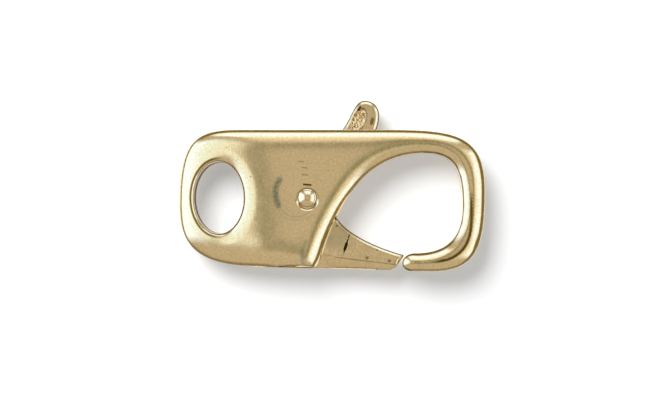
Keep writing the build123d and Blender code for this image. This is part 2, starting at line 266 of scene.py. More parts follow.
# Rivet
RIVET_DIAMETER = 1.1
HEAD_DIAMETER = 1.42
HEAD_HEIGHT = 0.5
DOME_STEEPNESS = 2.4
DOME_EDGE_ROUND = 0.09
DOME_EDGE_STRETCH = 1.4
BACK_HEAD_DIAMETER = 1.5
BACK_HEAD_DEPTH = 0.2
DISH_DEPTH = 0.12
DISH_WALL = 0.1

# Spring pocket
POCKET_LENGTH = 3.6
POCKET_DROP = 4.3

# Plain margin by which a cutting shape runs on past what it cuts
MARGIN = 2.0

# How finely the meshes are made
OUTLINE_STEP = 0.07
FACE_STEP = 0.15
TRIGGER_FACE_STEP = 0.12
DISH_STEP = 0.06
OVAL_STEP = 0.045
ROUND_STEPS = 9
RIM_STEP = 0.025
TRIGGER_RIM_STEPS = [RIM_STEP, 0.055, 0.09, 0.13, 0.18, 0.24, 0.31, 0.38]
ACROSS_STROKE = (-0.6, -0.3, 0, 0.3, 0.6)
RIVET_STEPS = 96
SHARP_ANGLE = 35.0
SMALL = 1e-4

# Places that follow from the sizes above
MID = BODY_THICKNESS / 2
TOP = TOP_EDGE_TO_PIVOT
EYE_END = -EYE_END_TO_PIVOT
HOOK_END = CLASP_LENGTH - EYE_END_TO_PIVOT
SLOT = TRIGGER_THICKNESS + 2 * SIDE_CLEARANCE
SLOPE = -math.tan(math.radians(BOTTOM_SLANT))


def bottom(x):
    """Height of the bottom edge at x. It falls gently towards the hook."""
    return -BOTTOM_EDGE_TO_PIVOT + x * SLOPE


def turned(point, degrees):
    """A plan point turned about the pivot."""
    angle = math.radians(degrees)
    x, y = point
    return (x * math.cos(angle) - y * math.sin(angle), x * math.sin(angle) + y * math.cos(angle))


def polar(radius, degrees):
    """A plan point at a distance and an angle from the pivot."""
    return turned((radius, 0), degrees)


def on_hub(share, degrees):
    """A plan point at a share of the hub's radius and an angle."""
    return polar(share * HUB_RADIUS, degrees)


def shifted(point, degrees, distance):
    """A plan point moved a distance along a direction."""
    dx, dy = polar(distance, degrees)
    return (point[0] + dx, point[1] + dy)


def direction(start, end):
    """The direction in degrees from one plan point to another."""
    return math.degrees(math.atan2(end[1] - start[1], end[0] - start[0]))


def bezier(start, first, second, end, steps=48):
    """Plan points along a cubic curve."""
    t = np.linspace(0, 1, steps + 1)[:, None]
    shares = ((1 - t) ** 3, 3 * t * (1 - t) ** 2, 3 * t ** 2 * (1 - t), t ** 3)
    places = np.array([start, first, second, end], float)
    return sum(share * place for share, place in zip(shares, places))


def corner(side, flat, fullness, slope=0.0):
    """A rounded corner, upright at its side point and level, or on a slope, at its flat point."""
    rise = (flat[1] - side[1]) * fullness[0]
    run = (flat[0] - side[0]) * fullness[1]
    return bezier(side, (side[0], side[1] + rise), (flat[0] - run, flat[1] - run * slope), flat)


def circle(radius, steps=120):
    """Plan points round the pivot."""
    angles = np.linspace(0, 2 * math.pi, steps, endpoint=False)
    return radius * np.stack([np.cos(angles), np.sin(angles)], 1)


def ellipse(middle, length, width, steps=160):
    """Plan points round an ellipse."""
    return np.array(middle) + circle(0.5, steps) * np.array([length, width])


# The eye end and the hook end in plan
EYE_TIP = (EYE_END, -EYE_END_BULGE_DROP)
HOOK_TIP = (HOOK_END, HOOK_END_BULGE_RISE)
TOP_LEFT = (EYE_END + TOP_EYE_CORNER, TOP)
TOP_RIGHT = (HOOK_END - TOP_HOOK_CORNER, TOP)
BOTTOM_LEFT = (EYE_END + BOTTOM_EYE_CORNER, bottom(EYE_END + BOTTOM_EYE_CORNER))
BOTTOM_RIGHT = (HOOK_END - BOTTOM_HOOK_CORNER, bottom(HOOK_END - BOTTOM_HOOK_CORNER))

# The hook opening in plan
INNER_TOP = TOP - TOP_BAR
INNER_RIGHT = HOOK_END - HOOK_BAR
NOSE_X = HOOK_END - NOSE_TO_HOOK_END
NOSE_INNER_X = NOSE_X + NOSE_LENGTH
INNER_BOTTOM = bottom(NOSE_INNER_X) + NOSE_BAR
LIP = (LIP_TO_PIVOT, bottom(LIP_TO_PIVOT) + LIP_RISE)
CREST = (LIP_TO_PIVOT + CREST_SHARE * (INNER_RIGHT - LIP_TO_PIVOT), INNER_TOP)
INNER_SIDE = (INNER_RIGHT, INNER_BOTTOM + OPENING_SIDE_SHARE * (INNER_TOP - INNER_BOTTOM))
NOSE_INNER = (NOSE_INNER_X, INNER_BOTTOM)
NOSE_TIP = (NOSE_X, INNER_BOTTOM - NOSE_TIP_SHARE * NOSE_BAR)
NOSE_OUTER_X = NOSE_X + NOSE_OUTER_SHARE * NOSE_LENGTH
NOSE_OUTER = (NOSE_OUTER_X, bottom(NOSE_OUTER_X))
FOOT = (LIP_TO_PIVOT - LIP_FOOT, bottom(LIP_TO_PIVOT - LIP_FOOT))
NOSE_CURVE = corner(NOSE_TIP, NOSE_INNER, NOSE_FULLNESS)
NOSE_LOW_CURVE = corner(NOSE_TIP, NOSE_OUTER, NOSE_FULLNESS, SLOPE)[::-1]
OPENING_LOW_CURVE = corner(INNER_SIDE, NOSE_INNER, OPENING_BOTTOM_FULLNESS)[::-1]
OPENING_TOP_CURVE = corner(INNER_SIDE, CREST, OPENING_TOP_FULLNESS)
GATE_REACH = np.hypot(NOSE_CURVE[:, 0], NOSE_CURVE[:, 1]).min() - GATE_GAP

# The trigger in plan
LEVER_BASE = (LEVER_TO_PIVOT, TOP)
LEVER_BASE_FAR = (LEVER_TO_PIVOT + LEVER_WIDTH, TOP)
LEVER_ROOT = on_hub(*LEVER_ROOT_AT)
LEVER_ROOT_FAR = on_hub(*LEVER_ROOT_FAR_AT)
LEVER_TIP = (LEVER_BASE[0] + LEVER_WIDTH / 2 + LEVER_LEAN, TOP + LEVER_REACH)
HEEL = (GATE_HEEL_TO_PIVOT, bottom(GATE_HEEL_TO_PIVOT))
HEEL_ROOT = on_hub(*HEEL_ROOT_AT)


def evenly(points, step):
    """A closed loop's points, placed again at even steps."""
    loop = np.vstack([points, points[:1]])
    lengths = np.hypot(*np.diff(loop, axis=0).T)
    keep = np.concatenate([[True], lengths > 1e-9])
    loop = loop[keep]
    along = np.concatenate([[0], np.cumsum(lengths[lengths > 1e-9])])
    count = int(round(along[-1] / step))
    places = np.linspace(0, along[-1], count, endpoint=False)
    return np.stack([np.interp(places, along, loop[:, i]) for i in (0, 1)], 1)


def counter_clockwise(loop):
    """The loop, turned if needed so that its inside lies on its left."""
    x, y = loop.T
    area = np.sum(x * np.roll(y, -1) - np.roll(x, -1) * y)
    return loop if area > 0 else loop[::-1]


def fine_loop(outline):
    """A closed outline as evenly spaced points with its inside on their left."""
    return counter_clockwise(evenly(outline, OUTLINE_STEP))


def inside(points, loop):
    """Which plan points lie inside a closed loop."""
    found = np.zeros(len(points), bool)
    ends = np.roll(loop, -1, axis=0)
    for (ax, ay), (bx, by) in zip(loop, ends):
        crosses = (points[:, 1] > ay) != (points[:, 1] > by)
        if crosses.any():
            reach = ax + (points[:, 1] - ay) / (by - ay) * (bx - ax)
            found ^= crosses & (points[:, 0] < reach)
    return found


def edge_distances(points, loop, chunk=1500):
    """Each point's distance to a closed loop, exact and softened.

    The softened one adds up the whole loop, so it has no crease along the middle of a bar.
    """
    step = np.roll(loop, -1, axis=0) - loop
    length = np.hypot(*step.T)
    along = step / length[:, None]
    exact, soft = [], []
    for first in range(0, len(points), chunk):
        rel = points[first:first + chunk, None, :] - loop[None, :, :]
        run = rel[..., 0] * along[:, 0] + rel[..., 1] * along[:, 1]
        gap = np.maximum((rel[..., 0] * along[:, 1] - rel[..., 1] * along[:, 0]) ** 2, 1e-8)
        before = -run
        after = length - run
        ends = after / np.sqrt(gap + after ** 2) - before / np.sqrt(gap + before ** 2)
        past = np.maximum(0, np.maximum(before, -after))
        exact.append(np.sqrt((gap + past ** 2).min(axis=1)))
        soft.append(np.sqrt(2 / np.sum(ends / gap, axis=1)))
    return np.concatenate(exact), np.concatenate(soft)


def rounded(distance, radius):
    """How far an edge rounded with a radius has fallen at a distance from it."""
    left = np.clip(1 - distance / radius, 0, 1)
    return radius * (1 - np.sqrt(1 - left ** 2))


def edge_fall(distance, radius, steepest):
    """How far an edge has fallen at a distance, where its arc meets the side wall at an angle."""
    lean = np.clip(np.sin(np.radians(steepest)) - distance / radius, 0, 1)
    return radius * (1 - np.sqrt(1 - lean ** 2))


def smooth_ramp(distance, softness):
    """Zero below, then rising one to one, with a soft bend between."""
    return softness * np.logaddexp(0, distance / softness)


def between(value, low, high):
    """Zero up to low, one from high, and a smooth rise between."""
    share = np.clip((value - low) / (high - low), 0, 1)
    return share * share * (3 - 2 * share)


def blend(first, second, share):
    """From the first value to the second as a share goes from zero to one."""
    return first * (1 - share) + second * share


def stroke_distance(points, start, end):
    """Each point's distance from a straight stroke."""
    start, end = np.array(start), np.array(end)
    step = end - start
    share = np.clip(((points - start) @ step) / max(step @ step, 1e-9), 0, 1)
    return np.hypot(*(points - start - share[:, None] * step).T)


def gouge(points):
    """A tapering slit in the gate: one along its middle and zero outside."""
    start, end = np.array(GOUGE)
    step = end - start
    share = (points - start) @ step / (step @ step)
    half = 0.5 * GOUGE_WIDTH * np.sin(math.pi * np.clip(share, 0, 1) ** 1.6) ** 0.8
    aside = stroke_distance(points, start, end)
    return np.clip(1.4 * (1 - aside / np.maximum(half, 0.03)), 0, 1) * (share > 0) * (share < 1)


def softened(path, rounds=3):
    """A path with its corners cut a few times, so that it bends smoothly."""
    path = np.array(path)
    for _ in range(rounds):
        middle = [blend(path[:-1], path[1:], share) for share in (0.25, 0.75)]
        path = np.vstack([path[:1], np.stack(middle, 1).reshape(-1, 2), path[-1:]])
    return path


def line_points(path, width):
    """Extra mesh points along a bent line."""
    ahead = np.gradient(np.asarray(path), axis=0)
    aside = np.stack([-ahead[:, 1], ahead[:, 0]], 1) / np.hypot(*ahead.T)[:, None]
    return np.vstack([path + aside * width * share for share in ACROSS_STROKE])


def stroke_points(stroke, width):
    """Extra mesh points along a scratch."""
    start, end = np.array(stroke)
    count = int(np.hypot(*(end - start)) / (0.4 * width)) + 2
    return line_points(np.linspace(start, end, count + 1), width)


def marked(surface, points, scratches, pits, pit_depth):
    """A surface with soft scratches and round pits cut in."""
    for stroke, width, depth, *painted_shade_in_marks in scratches:
        surface = surface - depth * (1 - between(stroke_distance(points, *stroke), 0, width / 2))
    for x, y, radius in pits:
        reach = np.hypot(points[:, 0] - x, points[:, 1] - y)
        surface = surface - pit_depth * (1 - between(reach, 0.2 * radius, radius))
    return surface


def mark_points(scratches, pits):
    """Extra mesh points along scratches and round pits."""
    rings = [(x, y, radius * share) for x, y, radius in pits for share in (0.05, 0.4, 0.75, 1.1)]
    found = [stroke_points(stroke, width) for stroke, width, *rest in scratches]
    return found + [circle(radius, 10) + (x, y) for x, y, radius in rings]


def painted_shade_in_marks(scratches, pits, amount):
    """Scratches and pits as strokes of painted shade: path, width and amount."""
    dots = [([(x, y), (x + 0.01, y)], 2 * radius, amount) for x, y, radius in pits]
    return [(row[0], *row[3:]) for row in scratches] + dots


def oval_share(points):
    """Each point's place in the lever's turned oval: zero in its middle and one on its edge."""
    along = (points - OVAL_MIDDLE) @ np.array(polar(1, OVAL_TURN))
    aside = (points - OVAL_MIDDLE) @ np.array(polar(1, OVAL_TURN + 90))
    return np.hypot(along / (OVAL_LENGTH / 2), aside / (OVAL_WIDTH / 2))


def stipple(points):
    """Uneven noise over the lever's oval."""
    return np.array([noise.noise((x, y, 0.5)) for x, y in (points / STIPPLE_SIZE).tolist()])


def body_outline(open_foot=False):
    """The whole plan of the body as one C: round the outside, the nose, the opening and the lip.

    With an open foot, the lip's edge runs on straight, far past the bottom edge.
    """
    lip_run = CREST[0] - LIP[0]
    crest_handle = (CREST[0] - LIP_FULLNESS[0] * lip_run, CREST[1])
    lip = bezier(CREST, crest_handle, shifted(LIP, LIP_ANGLE, LIP_FULLNESS[1] * lip_run), LIP)
    low_handle = shifted(LIP, LIP_ANGLE, -FOOT_FULLNESS[0] * LIP_RISE)
    flat = FOOT_FULLNESS[1] * LIP_FOOT
    foot = bezier(LIP, low_handle, (FOOT[0] + flat, FOOT[1] + flat * SLOPE), FOOT)
    start = [FOOT]
    if open_foot:
        foot = foot[:len(foot) // 2]
        past = shifted(foot[-1], direction(foot[-2], foot[-1]), MARGIN * 2)
        foot = np.vstack([foot, past])
        start = [past, (BOTTOM_LEFT[0], past[1])]
    return np.vstack([
        start,
        corner(EYE_TIP, BOTTOM_LEFT, BOTTOM_EYE_FULLNESS, SLOPE)[::-1],
        corner(EYE_TIP, TOP_LEFT, TOP_EYE_FULLNESS),
        corner(HOOK_TIP, TOP_RIGHT, TOP_HOOK_FULLNESS)[::-1],
        corner(HOOK_TIP, BOTTOM_RIGHT, BOTTOM_HOOK_FULLNESS, SLOPE),
        NOSE_LOW_CURVE,
        NOSE_CURVE,
        OPENING_LOW_CURVE,
        OPENING_TOP_CURVE,
        lip,
        foot,
    ])


def nose_distance(points):
    """The softened distance to the edge of the nose, which ends in an ellipse."""
    middle = INNER_BOTTOM - 0.5 * NOSE_BAR
    half = NOSE_BAR / 2
    run = np.minimum(points[:, 0] - NOSE_INNER_X, 0) / NOSE_LENGTH
    reach = np.hypot(run, (points[:, 1] - middle) / half)
    near = np.maximum(half * (1 - reach), 1e-4)
    return 1 / np.sqrt(1 / near ** 2 + 1 / (half * (1 + reach)) ** 2)


def lever_outline():
    """The thumb lever in plan, from inside the hub to its rounded tip."""
    side = (LEVER_BASE_FAR[0] + LEVER_BULGE, TOP + LEVER_REACH / 2)
    rise = LEVER_TIP[1] - LEVER_BASE[1]
    run = LEVER_TIP[0] - LEVER_BASE[0]
    lean = direction(LEVER_ROOT, LEVER_BASE)
    base_handle = shifted(LEVER_BASE, lean, LEVER_TIP_FULLNESS[0] * rise)
    tip_handle = (LEVER_TIP[0] - LEVER_TIP_FULLNESS[1] * run, LEVER_TIP[1])
    side_handle = (side[0], side[1] - LEVER_BASE_FULLNESS[0] * rise)
    far_handle = shifted(LEVER_BASE_FAR, LEVER_BASE_ANGLE, LEVER_BASE_FULLNESS[1] * rise)
    return np.vstack([
        [LEVER_ROOT_FAR, LEVER_ROOT],
        bezier(LEVER_BASE, base_handle, tip_handle, LEVER_TIP),
        corner(side, LEVER_TIP, LEVER_SIDE_FULLNESS)[::-1],
        bezier(side, side_handle, far_handle, LEVER_BASE_FAR),
    ])


def gate_outline():
    """The gate in plan, from its shoulder beside the lip to the end that meets the nose."""
    shoulder = polar(GATE_SHOULDER_REACH, GATE_SHOULDER_ANGLE)
    tip_y = INNER_BOTTOM - GATE_TIP_DROP
    tip = (math.sqrt(GATE_REACH ** 2 - tip_y ** 2), tip_y)
    low_y = bottom(tip[0]) + GATE_TIP_CHAMFER_RISE
    low = (math.sqrt(GATE_REACH ** 2 - low_y ** 2), low_y)
    toe_x = low[0] - GATE_TIP_CHAMFER
    run = tip[0] - shoulder[0]
    drop = tip[1] - shoulder[1]
    first, second = [
        (shoulder[0] + share[0] * run, shoulder[1] + share[1] * drop)
        for share in (GATE_HOLLOW_START, GATE_HOLLOW_END)
    ]
    hollow = bezier(shoulder, first, second, tip)
    toe = (toe_x, bottom(toe_x))
    return np.vstack([[on_hub(*GATE_ROOT_AT)], hollow, [low, toe, HEEL, HEEL_ROOT]])


def tail_outline():
    """The tail in plan, a plain bar that the spring pushes."""
    half = TAIL_WIDTH / 2
    start = HUB_RADIUS / 2
    bar = [(start, -half), (TAIL_REACH, -half), (TAIL_REACH, half), (start, half)]
    return [turned(point, TAIL_ANGLE) for point in bar]


def index_loops(loops):
    """Each loop as the places of its points in one list of all their points."""
    ends = np.cumsum([0] + [len(loop) for loop in loops]).tolist()
    return [list(range(first, end)) for first, end in zip(ends, ends[1:])]


def joined(outlines):
    """The outline round several overlapping plan shapes."""
    points = [Vector(p) for p in np.vstack(outlines).tolist()]
    made = delaunay_2d_cdt(points, [], index_loops(outlines), 1, 1e-6)
    used = dict.fromkeys((a, b) for t in made[2] for a, b in zip(t, t[1:] + t[:1]))
    following = {a: b for a, b in used if (b, a) not in used}
    loop = [next(iter(following))]
    while following[loop[-1]] != loop[0]:
        loop.append(following[loop[-1]])
    return np.array([made[0][i] for i in loop])


def plan_mesh(outline, holes, ring_places, extra, face_step):
    """Plan points and triangles that fill an outline, closely spaced near its edges."""
    loops = [outline] + holes
    keep = []
    for loop in loops:
        ahead = np.roll(loop, -1, axis=0) - np.roll(loop, 1, axis=0)
        normal = np.stack([-ahead[:, 1], ahead[:, 0]], 1) / np.hypot(*ahead.T)[:, None]
        for place in ring_places:
            ring = loop + normal * place
            nearest = np.min([edge_distances(ring, other)[0] for other in loops], axis=0)
            keep.append(ring[nearest > 0.97 * place])
    low, high = outline.min(axis=0), outline.max(axis=0)
    columns = np.arange(low[0], high[0], face_step)
    rows = np.arange(low[1], high[1], face_step * math.sin(math.radians(60)))
    grid = np.array([(x + (j % 2) * face_step / 2, y) for j, y in enumerate(rows) for x in columns])
    grid = grid[inside(grid, outline)]
    for hole in holes:
        grid = grid[~inside(grid, hole)]
    nearest = np.min([edge_distances(grid, loop)[0] for loop in loops], axis=0)
    keep.append(grid[nearest > ring_places[-1] + 0.4 * face_step])
    faces = index_loops(loops)
    faces = faces[:1] + [face[::-1] for face in faces[1:]]
    points = [Vector(p) for p in np.vstack(loops + keep + extra).tolist()]
    made = delaunay_2d_cdt(points, [], faces, 1, 1e-7)
    points = np.array([tuple(p) for p in made[0]])
    triangles = np.array(made[2])
    for hole in holes:
        triangles = triangles[~inside(points[triangles].mean(axis=1), hole)]
    return points, triangles


def cast(name, outline, holes, front, back, ring_places, extra, wall_rows, face_step):
    """A closed mesh over a plan outline with holes, from its front to a back below the middle."""
    holes = [fine_loop(hole)[::-1] for hole in holes]
    points, triangles = plan_mesh(fine_loop(outline), holes, ring_places, extra, face_step)
    count = len(points)
    top = np.column_stack([points, front(points)])
    low = np.column_stack([points, MID - back(points)])
    vertices = [top, low]
    faces = triangles.tolist() + (triangles[:, ::-1] + count).tolist()
    corners = triangles.tolist()
    edges = dict.fromkeys(pair for a, b, c in corners for pair in ((a, b), (b, c), (c, a)))
    rim = [pair for pair in edges if (pair[1], pair[0]) not in edges]
    rim_vertices = sorted({a for a, b in rim})
    levels = [dict(zip(rim_vertices, rim_vertices))]
    for row in range(1, wall_rows):
        vertices.append(blend(top[rim_vertices], low[rim_vertices], row / wall_rows))
        first = 2 * count + (row - 1) * len(rim_vertices)
        levels.append({vertex: first + i for i, vertex in enumerate(rim_vertices)})
    levels.append({vertex: vertex + count for vertex in rim_vertices})
    for upper, lower in zip(levels, levels[1:]):
        faces += [(upper[b], upper[a], lower[a], lower[b]) for a, b in rim]
    return mesh_object(name, np.vstack(vertices), faces)


def mesh_object(name, vertices, faces):
    """An object from vertices in millimetres from the pivot, placed in the row frame in metres."""
    mesh = bpy.data.meshes.new(name)
    placed = (np.asarray(vertices, float) + np.array([PIVOT.x, PIVOT.y, 0])) * METRES
    mesh.from_pydata(placed.tolist(), [], [list(face) for face in faces])
    mesh.validate()
    mesh.update()
    thing = bpy.data.objects.new(name, mesh)
    bpy.context.scene.collection.objects.link(thing)
    return thing


def prism(name, outline, low, high):
    """A straight-walled mesh over a plan outline."""
    outline = counter_clockwise(outline)
    count = len(outline)
    vertices = np.vstack([np.column_stack([outline, np.full(count, z)]) for z in (low, high)])
    faces = [list(range(count))[::-1], list(range(count, 2 * count))]
    for i in range(count):
        j = (i + 1) % count
        faces.append([i, j, j + count, i + count])
    return mesh_object(name, vertices, faces)


def apply_boolean(thing, cutter):
    """Takes a cutter away from a mesh, and removes the cutter."""
    change = thing.modifiers.new("cut", "BOOLEAN")
    change.operation = "DIFFERENCE"
    change.solver = "EXACT"
    change.object = cutter
    bpy.context.view_layer.update()
    made = thing.evaluated_get(bpy.context.evaluated_depsgraph_get())
    result = bpy.data.meshes.new_from_object(made)
    thing.modifiers.clear()
    thing.data = result
    bpy.data.objects.remove(cutter)


def smooth(thing):
    """Smooth shading, with the sharper edges left crisp."""
    thing.data.shade_smooth()
    thing.data.set_sharp_from_angle(angle=math.radians(SHARP_ANGLE))


def side_line(root, tip, past, side):
    """One side of a bar with its clearance, from its root to a distance past its tip."""
    along = direction(root, tip)
    ends = (root, shifted(tip, along, past))
    return [shifted(point, along + side, PLAN_CLEARANCE) for point in ends]


def cavity_outline():
    """The hollow between the side walls: hub, lever slot, gate window and spring pocket."""
    near = side_line(LEVER_ROOT, LEVER_BASE, TOP + MARGIN, 90)
    far = side_line(LEVER_ROOT_FAR, LEVER_BASE_FAR, TOP + MARGIN, -90)
    slot = [turned(point, OPEN_ANGLE) for point in near] + far[::-1]

    spare_angle = math.degrees(PLAN_CLEARANCE / GATE_SHOULDER_REACH)
    window_top = polar(2 * GATE_SHOULDER_REACH, GATE_SHOULDER_ANGLE + OPEN_ANGLE + spare_angle)
    heel_root, heel_end = side_line(HEEL_ROOT, HEEL, MARGIN, -90)
    window = [(0, 0), window_top, (window_top[0], heel_end[1]), heel_end, heel_root]

    roof_root = shifted((0, 0), TAIL_ANGLE - 90, TAIL_WIDTH / 2 + PLAN_CLEARANCE)
    roof_length = (roof_root[0] + POCKET_LENGTH) / -math.cos(math.radians(TAIL_ANGLE))
    pocket_side = (HEEL_ROOT[0] + HEEL[0]) / 2
    pocket = [
        shifted(roof_root, TAIL_ANGLE, roof_length),
        (-POCKET_LENGTH, -POCKET_DROP),
        (pocket_side, -POCKET_DROP),
        (pocket_side, -HUB_RADIUS / 2),
        roof_root,
    ]
    return joined([circle(HUB_RADIUS + PLAN_CLEARANCE), slot, window, pocket])


def body_half_thickness(points):
    """Half the body's thickness before its edges are rounded. Eye end and hook are thinner."""
    x, y = points.T
    shoulder = -SHOULDER_TO_PIVOT - SHOULDER_SWEEP * (y - SHOULDER_LOWEST) ** 2
    eye_run = EYE_END_TO_PIVOT - SHOULDER_TO_PIVOT
    eye_slope = (MID - EYE_END_THICKNESS / 2) / eye_run - EYE_END_CURVE * eye_run
    hook_slope = (MID - HOOK_END_THICKNESS / 2) / (HOOK_END - HOOK_TAPER_TO_PIVOT)
    past = smooth_ramp(shoulder - x, SHOULDER_SOFTNESS)
    eye_fall = eye_slope * past + EYE_END_CURVE * past ** 2
    hook_fall = hook_slope * smooth_ramp(x - HOOK_TAPER_TO_PIVOT, HOOK_TAPER_SOFTNESS)
    return MID - eye_fall - hook_fall


# Paths of the marks that only colour the metal: a painted dark reflection along the hook's crest,
# painted shade by the lip's foot, along its bottom edge, in the gate's nook and along the opening's
# inner edge, and real greenish smudges round the rivet
HOOK_LINE = softened([
    (12.82, 0.81), (12.79, -1.16), (12.76, -2.14), (12.6, -3.2), (12.2, -3.98),
    (11.69, -4.45), (11.0, -4.84), (9.73, -5.02), (9.03, -5.04),
])
SMUDGE_LINE = softened([(-2.15, 1.4), (-2.45, 0.85), (-2.5, 0.2), (-2.26, -0.6)], 2)
FOOT_SHADE = softened([(-0.12, -3.4), (-0.4, -4.2), (-0.47, -4.9), (-0.2, -5.33), (0.3, -5.42)])
INNER_ARC = softened([
    (-2.26, -0.5), (-1.94, -1.04), (-1.31, -1.47), (-0.53, -1.51), (0.18, -1.12),
], 2)
OUTER_ARC = softened([
    (-2.4, -0.75), (-2.05, -1.35), (-1.4, -1.72), (-0.5, -1.78), (0.4, -1.35),
], 2)
SHORT_ARC = softened([(-1.75, -0.6), (-1.5, -1.0), (-1.1, -1.25)], 2)
FOOT_EDGE = [(-2.2, bottom(-2.2)), (0.95, bottom(0.95))]
GATE_NOOK = [(2.22, -1.62), (2.42, -1.46)]
INNER_EDGE = np.vstack([
    NOSE_LOW_CURVE[::8],
    NOSE_CURVE[::8],
    OPENING_LOW_CURVE[::8],
    OPENING_TOP_CURVE[::8],
])

# Greenish smudges on the body, and painted shade round the end of the lip's foot: path, width and
# amount
SMUDGES_AND_SHADE = [
    (SMUDGE_LINE, 0.68, 1.0),
    (INNER_ARC, 0.17, 0.4),
    (OUTER_ARC, 0.14, 0.3),
    (SHORT_ARC, 0.14, 0.3),
    # Painted shade round the end of the lip's foot
    (FOOT_SHADE, 0.4, 0.55),
]
# A painted dark reflection along the hook's crest, stored with the painted shade: path, width and
# amount
HOOK_SHADE = (HOOK_LINE, 0.26, 0.68)


def clasp_body():
    """Eye, side walls, spine, hook and nose, with the hollow for the trigger between the walls."""
    outline = body_outline()
    eye = ellipse((-EYE_TO_PIVOT, 0), EYE_LENGTH, EYE_WIDTH)
    loop = fine_loop(outline)
    foot_loop = fine_loop(body_outline(open_foot=True))
    eye_loop = fine_loop(eye)

    def height(points, lean):
        """How far the surface lies from the middle of the clasp."""
        x, y = points.T
        run = np.maximum(y - bottom(x), SMALL)
        beside = (points - LIP) @ np.array(polar(1, LIP_ANGLE + 90))
        before_gate = 1 - between(x, *LOW_ZONE_END)
        low = between(-y, *LOW_ZONE) * before_gate
        by_eye = between(-x, *EYE_ZONE)
        by_foot = between(x, *FOOT_ZONE) * (1 - between(x, *FOOT_ZONE_END))
        on_lip = (1 - between(beside, *LIP_ZONE_ASIDE)) * between(-y, *LIP_ZONE) * before_gate
        on_hook = between(x, *HOOK_ZONE) * between(y, *HOOK_ZONE_LOW)
        on_hook = on_hook * (1 - between(y, *HOOK_ZONE_HIGH))
        on_nose = 1 - between((x - NOSE_X) / NOSE_LENGTH, *NOSE_ZONE_SHARES)
        on_nose = on_nose * (x > NOSE_X - 0.1) * (y < INNER_BOTTOM + 0.5)

        # The lip runs on to the bottom edge like a finger, so that edge is squeezed beside it
        squeezed = run * blend(FOOT_SQUEEZE, 1, between(beside, *FOOT_ZONE_ASIDE))
        finger = 1 / np.sqrt(1 / edge_distances(points, foot_loop)[1] ** 2 + 1 / squeezed ** 2)
        soft = blend(edge_distances(points, loop)[1], finger, by_foot)
        soft = blend(soft, nose_distance(points), on_nose)

        hook_round = blend(HOOK_INNER_ROUND, HOOK_OUTER_ROUND, between(x, *HOOK_OUTER_ZONE))
        radius = blend(EDGE_ROUND, LOW_EDGE_ROUND, low)
        radius = blend(radius, NOSE_EDGE_ROUND, on_nose)
        radius = blend(radius, hook_round, on_hook)
        steepest = blend(EDGE_STEEPEST, LIP_STEEPEST, on_lip)
        steepest = steepest + (EYE_STEEPEST - EDGE_STEEPEST) * low * by_eye
        width = blend(CROWN_WIDTH, LOW_CROWN_WIDTH, low)
        drop = blend(CROWN_DROP, LOW_CROWN_DROP, low) * (1 - EYE_CROWN_LOSS * low * by_eye)

        # The eye end leans down towards the bottom edge
        share = np.clip((run - LOW_LEAN_FULL) / (LOW_LEAN_START - LOW_LEAN_FULL), 0, 1)
        leaning = (LOW_LEAN_START - LOW_LEAN_FULL) * (0.5 - share + share ** 3 - share ** 4 / 2)
        leaning = lean * (leaning + np.maximum(0, LOW_LEAN_FULL - run)) * by_eye

        half = body_half_thickness(points)
        fall = on_lip * edge_fall(soft, LIP_RIM_ROUND, LIP_RIM_STEEPEST)
        fall = fall + edge_fall(soft, radius, steepest)
        fall = fall + drop * np.clip(1 - soft / width, 0, 1) ** 3 + leaning
        from_eye = edge_distances(points, eye_loop)[0]
        dip = EYE_DIP * np.clip(1 - from_eye / EYE_DIP_WIDTH, 0, 1) ** 2
        dip = dip * between(x + EYE_TO_PIVOT, *EYE_DIP_ZONE)
        return half - np.minimum(fall, MOST_FALL * half) - dip - rounded(from_eye, EYE_EDGE_ROUND)

    def front(points):
        """The front, with the rivet's dish and the marks of making and wear."""
        reach = np.hypot(*(points - DISH_OFFSET).T)
        below = between((DISH_OFFSET[1] - points[:, 1]) / np.maximum(reach, 0.01), *DISH_LOW_ZONE)
        wall = blend(DISH_SHARE_ABOVE, 1, below)
        surface = MID + height(points, LOW_LEAN)
        surface -= DISH_WALL * (1 - between(reach, DISH_INNER, DISH_OUTER)) * wall
        surface -= DISH_WALL * (1 - between(reach, DISH_INNER - 0.1, DISH_INNER)) * (1 - wall)
        return marked(surface, points, BODY_SCRATCHES, BODY_PITS, BODY_PIT_DEPTH)

    def back(points):
        """How far the plain back lies below the middle."""
        return height(points, 0)

    steepest = math.radians(EDGE_STEEPEST)
    slopes = np.linspace(steepest, 0, ROUND_STEPS + 1)[1:]
    ring_places = [RIM_STEP, *(EDGE_ROUND * (math.sin(steepest) - np.sin(slopes)))]
    extra = [circle(DISH_STEP * i, 10 * i) for i in range(1, 20)]
    extra += mark_points(BODY_SCRATCHES, BODY_PITS)
    extra += [line_points(path, width) for path, width, amount in SMUDGES_AND_SHADE + [HOOK_SHADE]]
    body = cast("body_shell", outline, [eye], front, back, ring_places, extra, 6, FACE_STEP)
    apply_boolean(body, prism("hollow", cavity_outline(), MID - SLOT / 2, MID + SLOT / 2))
    smooth(body)
    return body


def trigger_outline():
    """The whole plan of the trigger."""
    return joined([circle(HUB_RADIUS), lever_outline(), gate_outline(), tail_outline()])


